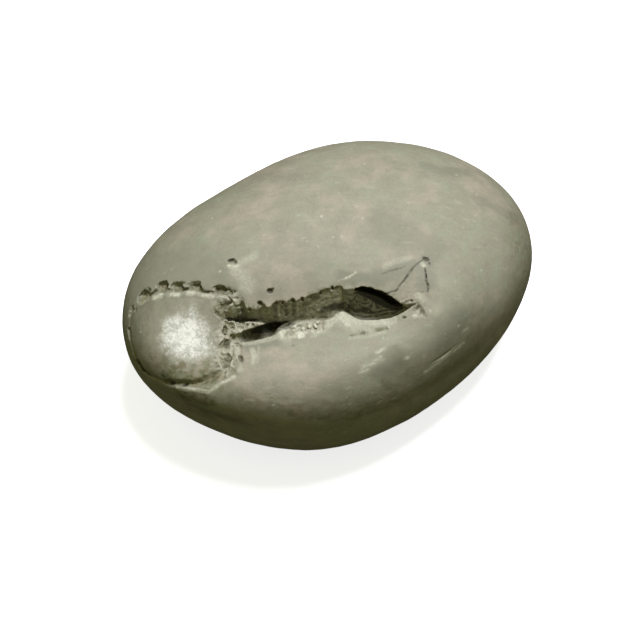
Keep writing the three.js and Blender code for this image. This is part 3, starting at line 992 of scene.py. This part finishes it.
# Brown and olive stains, some of them painted shade round the boss and beside the slot, and then
# painted grey shade, with a few real smears, on the plain skin.
STAINS_AND_PAINTED_SHADE_ON_BOSS = (
    (1.7, 0.45, -8.9, 3.2, -9.8, -0.8, -8.8, -4.2, -6, -7.2),
    (2.3, 0.5, -7.2, -2.5, -4.8, -5.2, -1.5, -6.6, 2.5, -6.2),
    (1.3, 1.4, 1, -7, 4.5, -5.9, 7.2, -4.1, 9.4, -2.6),
    (1.5, 0.9, -2, -5.2, 2, -5.2),
    (1.5, 1.4, 2, -5.4, 4.2, -4.9, 6.3, -3.9, 7.8, -2.8),
    (1.9, 0.45, -7.6, 2, -7.3, -1.5),
    (1.3, 1.1, 2.6, -4.1, 4.8, -3.4, 6.8, -2.2),
    (1.3, 1.3, 4.2, -8.4, 7, -7.4, 10, -6.6),
    (1.5, 1.1, 9.8, -2, 11.2, -0.4),
    (1.3, 0.35, -6.4, 2, -4.6, 4, -2, 5.2),
)
STAINS_AND_PAINTED_SHADE_ON_SHOULDER = (
    (3, 0.5, 38, 15, 39.5, 8, 38, 0),
    (1.6, 0.7, -13.5, -12.8, -9, -15.2, 0, -16.4, 9, -16.2, 17, -14.6),
    (0.3, 0.8, 8.2, -4.1, 8.8, -3.9),
    (0.5, 1.2, 9.7, -3.6, 10.5, -3.7),
    (0.34, 1.1, 12.5, -3.2, 14.2, -2.8),
    (0.5, 0.7, 1.2, 2.8, 3, 3.3, 5.4, 4.4, 8.4, 4.6),
    (3, 0.32, 20, -11, 27, -7, 31, -3),
    (0.8, 1, -2, -17.3, 3, -18, 9.5, -17.7),
    (1.1, 0.45, 15.4, -6.8, 17.4, -9.2, 19.4, -11.8),
    (0.8, 0.7, 13.8, -12.2, 16.2, -14.2),
    (0.9, 0.6, -20.5, -16.4, -16, -17.8, -11, -18.4),
)
SMEARS_AND_PAINTED_SHADE_ON_SHOULDER = (
    (4.5, 0.8, -31, -1, -26, 6, -17.5, 7, -13.5, 5),
    (0.9, 0.8, 21, 25.6, 24.5, 24.7, 28.5, 24.7),
    (0.8, 0.7, 30, 19.9, 35, 17.6, 38, 16.4),
    (1.3, 0.9, 12.6, 5.5, 15.5, 6.5, 18.8, 7.5),
    (2, 0.2, -10.5, -7.5, -8, -9.5, -5.5, -12.5),
    (0.7, 0.4, -5.5, 24.2, -1, 23.4, 2.5, 23.6),
    (0.5, 0.5, 10.6, 5, 13.6, 5.5, 16.6, 6.4),
    (1.2, 0.4, 8, -14.6, 16, -13.6, 24, -10),
    (2.3, 0.9, 13, -9.2, 18.2, -6.4, 23, -4, 26.5, -1),
    (0.6, 0.3, -7, 2.6, -2, 3.4, 3, 4.6),
    (2.6, 0.7, 13.8, 14.6, 17.6, 12.4, 21.6, 10.4),
    (1.7, 0.9, 20.8, 8.4, 20.8, 4.8),
    (2.4, 0.4, -3.4, 10.6, -0.5, 9.6, 2, 8.2),
    (1, 1, 6.4, 6.1, 8.2, 5.7, 10.6, 5.5),
    (1.3, 1.2, -9, -5.8, -6.8, -5.2, -4.8, -4.7),
    (1.4, 0.7, 4.4, -12.6, 6.7, -13.9, 9.4, -14.8),
)
# Places painted dark to the bottom, as deep shadow and old dirt: an outline's lower and upper
# side, and how dark.
BLACK = (
    (
        ((-8.8, -4), (-6.6, -4), (-5, -3.4), (-3.8, -2.6)),
        ((-8.8, -3), (-6.9, -2.1), (-5, -1.7), (-3.8, -1.7)),
        1,
    ),
    (BRANCH_LOWER[1:], BRANCH_UPPER[1:], 0.5),
    (SLIT_LOWER, SLIT_UPPER, 1.0),
    (((-13.4, -1.7), (-7.6, -1.8)), ((-13.4, -1.2), (-7.6, -1.3)), 0.8),
)
# How far the dark line of dirt and painted shade along a crack reaches.
CRACK_DIRT_AND_SHADE_REACH = 0.2
PATCH_CENTRE = (1.5, 1)
PATCH_RADIUS = 5.4
# How far below the shoulder's and the boss's places their marks still show.
SHOULDER_MARK_DEPTH = 27
BOSS_MARK_DEPTH = 12
# The centre of the growth lines' swirl in the cavity, and how far it reaches.
SWIRL_CENTRE = (10.6, 1.9)
SWIRL_REACH = 2.0


def marked(x, y, marks, ragged):
    """How strong the marks are at each place, with ragged edges."""
    strongest = np.zeros(x.shape)
    for half, strength, *path in marks:
        gap = path_distance(x, y, np.reshape(path, (-1, 2)))[0] / half + 0.3 * ragged
        strongest = np.maximum(strongest, strength * (1 - ease(gap, 0.45, 1.45)))
    return strongest


def bend_of(mesh, corners):
    """How sharply the surface bends, above zero on edges and below zero in hollows."""
    ends = np.empty(2 * len(mesh.edges), dtype=np.int32)
    mesh.edges.foreach_get("vertices", ends)
    first, second = ends[::2], ends[1::2]
    normals = np.empty(3 * len(corners))
    mesh.vertex_normals.foreach_get("vector", normals)
    normals = normals.reshape(-1, 3)
    both, other = np.concatenate((first, second)), np.concatenate((second, first))
    count = np.bincount(both, minlength=len(corners))
    gap = corners[both] - corners[other]
    rise = (gap * normals[both]).sum(1) / (gap * gap).sum(1)
    bend = np.clip(np.bincount(both, rise, len(corners)) / count, -20, 20)
    for _ in range(2):
        bend = 0.5 * bend + 0.5 * np.bincount(both, bend[other], len(corners)) / count
    return bend


def paint(mesh, name, values):
    """Stores one value at each corner, for the material to read."""
    layer = mesh.attributes.new(name, "FLOAT", "POINT")
    layer.data.foreach_set("value", values.astype(np.float32))


def paint_stone(mesh):
    """Works out every mask that the material reads."""
    corners = np.empty(3 * len(mesh.vertices))
    mesh.vertices.foreach_get("co", corners)
    corners = corners.reshape(-1, 3) / MM
    ragged = lumps(corners, 0.9, 41) + 0.6 * lumps(corners, 0.4, 42)
    local = SHOULDER.local(corners)
    boss = BOSS.local(corners)
    x, y = local[:, 0], local[:, 1]
    boss_x, boss_y = boss[:, 0], boss[:, 1]
    near_side = local[:, 2] > -SHOULDER_MARK_DEPTH
    near_boss = boss[:, 2] > -BOSS_MARK_DEPTH

    def in_both(on_shoulder, on_boss):
        there = marked(boss_x, boss_y, on_boss, ragged) * near_boss
        return np.maximum(marked(x, y, on_shoulder, ragged), there)

    pale = in_both(PALE_ON_SHOULDER, PALE_ON_BOSS)
    # Brown and olive stains, some of them painted shade.
    stain_and_painted_shade = in_both(STAINS_AND_PAINTED_SHADE_ON_SHOULDER, STAINS_AND_PAINTED_SHADE_ON_BOSS)
    dark = in_both(DARK_ON_SHOULDER, DARK_ON_BOSS)
    # Dirt and painted shade: dark lines along the cracks, painted shadow in the pits, and near
    # black deep in the fork, the slit and the slot.
    for path, width, _ in CRACKS[:2]:
        gap, behind = path_distance(x, y, path)
        line = 1 - ease(gap + 0.08 * ragged, 0.2 * width, CRACK_DIRT_AND_SHADE_REACH)
        dark = np.maximum(dark, line * width * (1.5 + 0.7 * ragged))
    for at_x, at_y, length, width, deep, turn in PITS:
        pit = dent(x - at_x, y - at_y, 0, math.radians(turn), length, width, 1)
        shadow = 0.6 * ease(deep, -0.2, 0.4)
        dark = np.maximum(dark, shadow * (1 - ease(pit + 0.08 * ragged, -0.15, 0.02)))
    sunk = np.maximum(-skin_distance(corners) - SKIN_WEAR, 0)
    for lower, upper, strength in BLACK:
        within = np.minimum(y - along(lower, x), along(upper, x) - y) + 0.15 * ragged
        within = ease(within, -0.25, 0.25) * (x > lower[0][0]) * (x < lower[-1][0])
        dark = np.maximum(dark, strength * within * ease(sunk, 0.8, 2.2))
    gaps = grain_gaps(corners)
    pale = pale * (1 - 0.85 * crumbled_lip(x, y) * gaps)
    # Broken ground: chalky, and partly painted highlight, on the tops of its facets, and dirt and
    # painted shade in its low parts.
    broken = np.maximum(broken_band(boss_x, boss_y), crumble_at(x, y))
    tops = 1 - ease(break_depth(corners) + 0.15 * ragged, 0.15, 0.7)
    pale = np.maximum(pale, broken * 0.48 * tops)
    dark = np.maximum(dark, broken * 0.28 * (1 - tops) * ease(ragged, 0.0, 0.8))
    lower = along(LOWER_RIM, x)
    swirl = np.hypot(0.8 * (x - SWIRL_CENTRE[0]), y - SWIRL_CENTRE[1])
    share = np.exp(-((swirl / SWIRL_REACH) ** 2))
    growth = (y - lower) * (1 - share) + swirl * share
    growth = growth + 0.15 * ragged + 0.3 * lumps(corners, 2.5, 43)
    in_cavity = ease(x, CAVITY_FROM, CAVITY_FROM + 0.8) * (1 - ease(x, 15.5, 17.0)) * (y < 6)
    radius = np.hypot(boss_x - PATCH_CENTRE[0], boss_y - PATCH_CENTRE[1])
    one_sided = {
        "pale": pale,
        "dark": np.clip(dark, 0, 1),
        "stain_and_painted_shade": stain_and_painted_shade,
        "dirt": marked(x, y, DIRT_ON_SHOULDER, ragged),
        # Painted grey shade, with a few real smears.
        "smear_and_painted_shade": marked(x, y, SMEARS_AND_PAINTED_SHADE_ON_SHOULDER, ragged),
        "broken": broken,
        # How far each place is sunk, which the material darkens with dirt and painted shade.
        "sunk": np.clip(sunk - 0.9 * lip_wear(x, y, gaps), 0, 8),
        "cavity": in_cavity * ease(sunk, 0.8, 1.6),
    }
    for name, values in one_sided.items():
        paint(mesh, name, values * near_side)
    paint(mesh, "bend", bend_of(mesh, corners))
    paint(mesh, "patch", np.where(near_boss, 1 - radius / PATCH_RADIUS, -1))
    paint(mesh, "growth", growth)


paint_stone(stone.data)


class Term:
    """A socket in a material. Arithmetic on it adds Math nodes."""

    def __init__(self, tree, socket=None):
        self.tree = tree
        self.socket = socket

    def node(self, kind, sockets, result=0, **settings):
        """Adds a node: its settings first, then the values or links of its sockets."""
        made = self.tree.nodes.new("ShaderNode" + kind)
        for name, setting in settings.items():
            setattr(made, name, setting)
        for name, value in sockets.items():
            if isinstance(value, Term):
                self.tree.links.new(value.socket, made.inputs[name])
            else:
                made.inputs[name].default_value = value
        return Term(self.tree, made.outputs[result])

    def maths(self, operation, *values):
        """This and the values through a Math node."""
        sockets = dict(enumerate((self, *values)))
        return self.node("Math", sockets, operation=operation)

    def __add__(self, other):
        return self.maths("ADD", other)

    def __sub__(self, other):
        return self.maths("SUBTRACT", other)

    def __mul__(self, other):
        return self.maths("MULTIPLY", other)

    __radd__ = __add__
    __rmul__ = __mul__

    def __rsub__(self, other):
        return self * -1 + other

    def eased(self, low, high):
        """0 below low and 1 above high, with a smooth step between."""
        sockets = {"Value": self, "From Min": low, "From Max": high}
        return self.node("MapRange", sockets, interpolation_type="SMOOTHSTEP")

    def between(self, first, second):
        """The first colour where this is 0 and the second where it is 1."""
        return self.node("Mix", {0: self, 6: first, 7: second}, 2, data_type="RGBA")

    def scaled(self, share):
        """This colour or vector, every part of it times a share."""
        return self.node("VectorMath", {0: self, "Scale": share}, operation="SCALE")


SHALE = (0.341, 0.327, 0.249, 1)
WARM_SHALE = (0.364, 0.334, 0.261, 1)
GREEN_SHALE = (0.316, 0.321, 0.236, 1)
# Painted grey shade on the plain skin.
PAINTED_SHADE_GREY = (0.225, 0.228, 0.175, 1)
CHALK = (0.57, 0.565, 0.445, 1)
WHITE = (0.92, 0.925, 0.85, 1)
# The whitest pale marks: chalk and painted highlight.
WHITE_CHALK_AND_HIGHLIGHT = (0.74, 0.74, 0.62, 1)
WHITE_SHADOW = (0.47, 0.49, 0.43, 1)
BROWN = (0.19, 0.162, 0.098, 1)
OLIVE = (0.15, 0.155, 0.08, 1)
# Dirt colours, also used as painted shade in what is sunk and in sharp hollows.
DIRT_AND_PAINTED_SHADE = (0.275, 0.26, 0.16, 1)
DARK_DIRT_AND_PAINTED_SHADE = (0.13, 0.121, 0.068, 1)
# Near black, for old dirt and painted shadow in deep places, and for the dark growth lines.
DEEP_DIRT_AND_PAINTED_SHADOW = (0.022, 0.02, 0.01, 1)
GLINT = (0.82, 0.83, 0.74, 1)
GROWTH_PITCH = 0.72
# The fine streaks' direction in degrees and how much longer than wide they are.
BRUSH_ANGLE = -23.5
BRUSH_STRETCH = 5
BUMP_HEIGHT = 0.00008
BUMP_STRENGTH = 0.6
SPECULAR_LEVEL = 0.4


def new_material(name):
    """A material and its shader."""
    material = bpy.data.materials.new(name)
    material.use_nodes = True
    return material, material.node_tree.nodes["Principled BSDF"]


def shale_finish():
    """The stone's material: plain skin first, then each thing that lies over it."""
    material, shader = new_material("river-worn shale")
    tree = material.node_tree
    start = Term(tree)
    place = start.node("TexCoord", {}, "Object").scaled(1 / MM)
    drift = start.node("TexNoise", {"Vector": place, "Scale": 1.4}, "Color").scaled(0.7)
    warped = start.node("VectorMath", {0: place, 1: drift}, operation="ADD")
    turned, stretched = (0, 0, math.radians(BRUSH_ANGLE)), (BRUSH_STRETCH, 1, 1)
    sockets = {"Vector": warped, "Rotation": turned, "Scale": stretched}
    brushed = start.node("Mapping", sockets, vector_type="TEXTURE")

    def noise(size, detail, where=place, rough=0.55):
        sockets = {"Vector": where, "Scale": 1 / size, "Detail": detail, "Roughness": rough}
        return start.node("TexNoise", sockets)

    def mask(name):
        return start.node("Attribute", {}, "Fac", attribute_name=name)

    def specks(size, radius, share):
        """Round specks of random strength, in a share of cells of one size."""
        sockets = {"Vector": warped, "Scale": 1 / size}
        distance = start.node("TexVoronoi", sockets, "Distance")
        colour = start.node("TexVoronoi", sockets, "Color")
        chance = start.node("SeparateColor", {0: colour})
        strength = start.node("SeparateColor", {0: colour}, 1)
        chosen = chance.eased(1 - share - 0.01, 1 - share + 0.01) * strength
        return (1 - distance.eased(0.6 * radius / size, 1.2 * radius / size)) * chosen

    # The plain skin: broad patches of three near greys, with finer and finer mottling.
    large, middle, small = noise(13, 3), noise(3.2, 4), noise(0.55, 3)
    streak = noise(1.0, 4, brushed)
    grain = noise(0.22, 2)
    colour = large.eased(0.44, 0.58).between(GREEN_SHALE, WARM_SHALE)
    colour = middle.eased(0.4, 0.6).between(SHALE, colour)
    tone = 0.37 + 0.48 * middle + 0.2 * streak + 0.24 * small + 0.34 * grain
    colour = colour.scaled(tone)

    # Stains, some of them painted shade round the boss and beside the slot.
    stain_and_painted_shade = mask("stain_and_painted_shade") * (0.45 + noise(1.3, 4).eased(0.4, 0.6) * 0.55)
    stain_and_shade_colour = noise(2.2, 3).eased(0.44, 0.56).between(BROWN, OLIVE)
    scuffs = noise(0.9, 3, brushed, 0.7).eased(0.61, 0.72) * 0.3

    # The rubbed white patch on the boss.
    edge = mask("patch") + 0.9 * (noise(1.7, 3) - 0.5) + 0.9 * (noise(0.45, 4, rough=0.75) - 0.5)
    white = edge.eased(-0.05, 0.7) * (1 - stain_and_painted_shade).maths("MAXIMUM", 0.0)
    blot = noise(0.7, 4, warped, 0.7) + 0.5 * (noise(2.4, 2) - 0.5)
    blot = blot.eased(0.42, 0.66) * (1 - 0.6 * edge.eased(0.4, 1.1)) * 0.85

    # Old dirt and painted shade in what is sunk, with the shell's growth lines showing through it
    # in the cavity.
    bend, sunk, growth = mask("bend"), mask("sunk"), mask("growth")
    ring = (growth * (2 * math.pi / GROWTH_PITCH)).maths("SINE") * mask("cavity")
    ring = ring * noise(1.5, 2).eased(0.32, 0.52)
    dirt = noise(0.8, 4, rough=0.65).eased(0.42, 0.62).between(DIRT_AND_PAINTED_SHADE, DARK_DIRT_AND_PAINTED_SHADE)
    dirt = (0 - ring).eased(0.0, 0.8).between(dirt, SHALE)
    sunk_dirt_and_shade = sunk + 2 * mask("dirt") * noise(0.7, 3).eased(0.4, 0.55) + 0.6 * (small - 0.5)
    sunk_dirt_and_shade = sunk_dirt_and_shade.eased(0.2, 0.9) * 0.9

    mottled = mask("broken") * noise(0.6, 3, rough=0.7).eased(0.5, 0.62) * 0.6
    # Pale marks: chalky scuffs, with painted highlight on lips and rib edges.
    pale = mask("pale") * (0.62 + 0.6 * noise(0.5, 3).eased(0.35, 0.65))
    chalk_and_painted_highlight = (pale - 0.9).eased(0.0, 0.6).between(CHALK, WHITE_CHALK_AND_HIGHLIGHT)
    clean_and_unshaded = 1 - sunk_dirt_and_shade

    # Each layer's share and colour, in the order that they lie over the skin. Dirt and painted
    # shade darken sharp hollows, chalk shows on sharp edges, and specks only show where the skin is
    # clean and unshaded.
    layers = (
        # Painted grey shade on the plain skin, with a few real smears.
        (mask("smear_and_painted_shade") * 0.65, PAINTED_SHADE_GREY),
        (0.8 * stain_and_painted_shade, stain_and_shade_colour),
        (scuffs, CHALK),
        (white, blot.between(WHITE, WHITE_SHADOW)),
        # Dirt and painted shade in what is sunk.
        (sunk_dirt_and_shade, dirt),
        (ring.eased(0.0, 0.9) * 0.7, DEEP_DIRT_AND_PAINTED_SHADOW),
        # Dirt and painted shade in sharp hollows.
        ((0 - bend).eased(0.3, 1.6) * 0.5, DARK_DIRT_AND_PAINTED_SHADE),
        (mottled, DARK_DIRT_AND_PAINTED_SHADE),
        (bend.eased(0.4, 1.8) * 0.14, CHALK),
        (pale.maths("MINIMUM", 1.0), chalk_and_painted_highlight),
        # Near black: painted shadow and dirt deep down, in the pits and along the cracks.
        (mask("dark") * 0.95, DEEP_DIRT_AND_PAINTED_SHADOW),
        (specks(1.5, 0.24, 0.24) * 0.36 * clean_and_unshaded, GLINT),
        (specks(1.3, 0.22, 0.12) * 0.4 * clean_and_unshaded, DIRT_AND_PAINTED_SHADE),
    )
    for share, over in layers:
        colour = share.between(colour, over)

    height = 0.5 * small + 0.6 * grain + 0.5 * streak + 0.4 * noise(0.1, 2) + 1.2 * ring
    sockets = {"Height": height, "Distance": BUMP_HEIGHT, "Strength": BUMP_STRENGTH}
    bump = start.node("Bump", sockets)
    rough = 0.52 + 0.16 * middle + 0.12 * grain
    for name, value in (("Base Color", colour), ("Roughness", rough), ("Normal", bump)):
        tree.links.new(value.socket, shader.inputs[name])
    shader.inputs["Specular IOR Level"].default_value = SPECULAR_LEVEL
    return material


stone.data.materials.clear()
stone.data.materials.append(shale_finish())
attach(stone, "root")
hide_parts("shaligram_stone")

# ---- Floor, light and camera -----------------------------------------------------------------
# A plain pale table top, one broad lamp almost straight above, and a long lens.

FLOOR_SIZE = 3.0
FLOOR_COLOUR = (0.9, 0.9, 0.89, 1)
FLOOR_ROUGHNESS = 0.9
FLOOR_GLOW = (0.95, 0.95, 1, 1)
FLOOR_GLOW_STRENGTH = 0.78
SKY_BELOW = (0.105, 0.1, 0.085, 1)
SKY_ABOVE = (1, 1, 0.45, 1)
SKY_STRENGTH = 0.26
AIM = Vector((-4.55, -3.62, 18.0)) * MM
LAMP_COLOUR = (0.9, 0.9, 1)
LAMP_SIZE = 0.3
LAMP_POWER = 10.8
LAMP_AZIMUTH = -8
LAMP_ELEVATION = 81
LAMP_DISTANCE = 1.0
CAMERA_AZIMUTH = -113.5
CAMERA_ELEVATION = 55
CAMERA_DISTANCE = 0.38
LENS = 120.0
SENSOR_WIDTH = 36.0


def aimed(name, data, way, distance):
    """A lamp or camera that looks at the stone from a distance."""
    made = shown(name, data)
    made.location = AIM + way * distance
    made.rotation_euler = way.to_track_quat("Z", "Y").to_euler()
    return made


half_floor = FLOOR_SIZE / 2
floor_corners = half_floor / MM * np.array(((-1, -1, 0), (1, -1, 0), (1, 1, 0), (-1, 1, 0)))
floor = shown("floor", mesh_from("floor", floor_corners, np.array(((0, 1, 2, 3),))))
floor_material, floor_shader = new_material("pale floor")
floor_shader.inputs["Base Color"].default_value = FLOOR_COLOUR
floor_shader.inputs["Roughness"].default_value = FLOOR_ROUGHNESS
floor_shader.inputs["Emission Color"].default_value = FLOOR_GLOW
floor_shader.inputs["Emission Strength"].default_value = FLOOR_GLOW_STRENGTH
floor.data.materials.append(floor_material)
floor.visible_diffuse = False
floor.visible_glossy = False

world = bpy.data.worlds.new("studio")
world.use_nodes = True
sky = Term(world.node_tree)
way = sky.node("TexCoord", {}, "Generated")
height = sky.node("SeparateXYZ", {0: way}, "Z")
glow = height.eased(-0.3, 0.3).between(SKY_BELOW, SKY_ABOVE)
background = world.node_tree.nodes["Background"]
background.inputs["Strength"].default_value = SKY_STRENGTH
world.node_tree.links.new(glow.socket, background.inputs["Color"])
bpy.context.scene.world = world

lamp = bpy.data.lights.new("overhead", "AREA")
lamp.shape = "DISK"
lamp.size = LAMP_SIZE
lamp.energy = LAMP_POWER
lamp.color = LAMP_COLOUR
aimed("overhead", lamp, Vector(facing(LAMP_AZIMUTH, LAMP_ELEVATION)), LAMP_DISTANCE)

lens = bpy.data.cameras.new("camera")
lens.lens = LENS
lens.sensor_width = SENSOR_WIDTH
lens.clip_start = 0.01
camera_way = Vector(facing(CAMERA_AZIMUTH, CAMERA_ELEVATION))
bpy.context.scene.camera = aimed("camera", lens, camera_way, CAMERA_DISTANCE)

bpy.context.scene.view_settings.view_transform = "Standard"
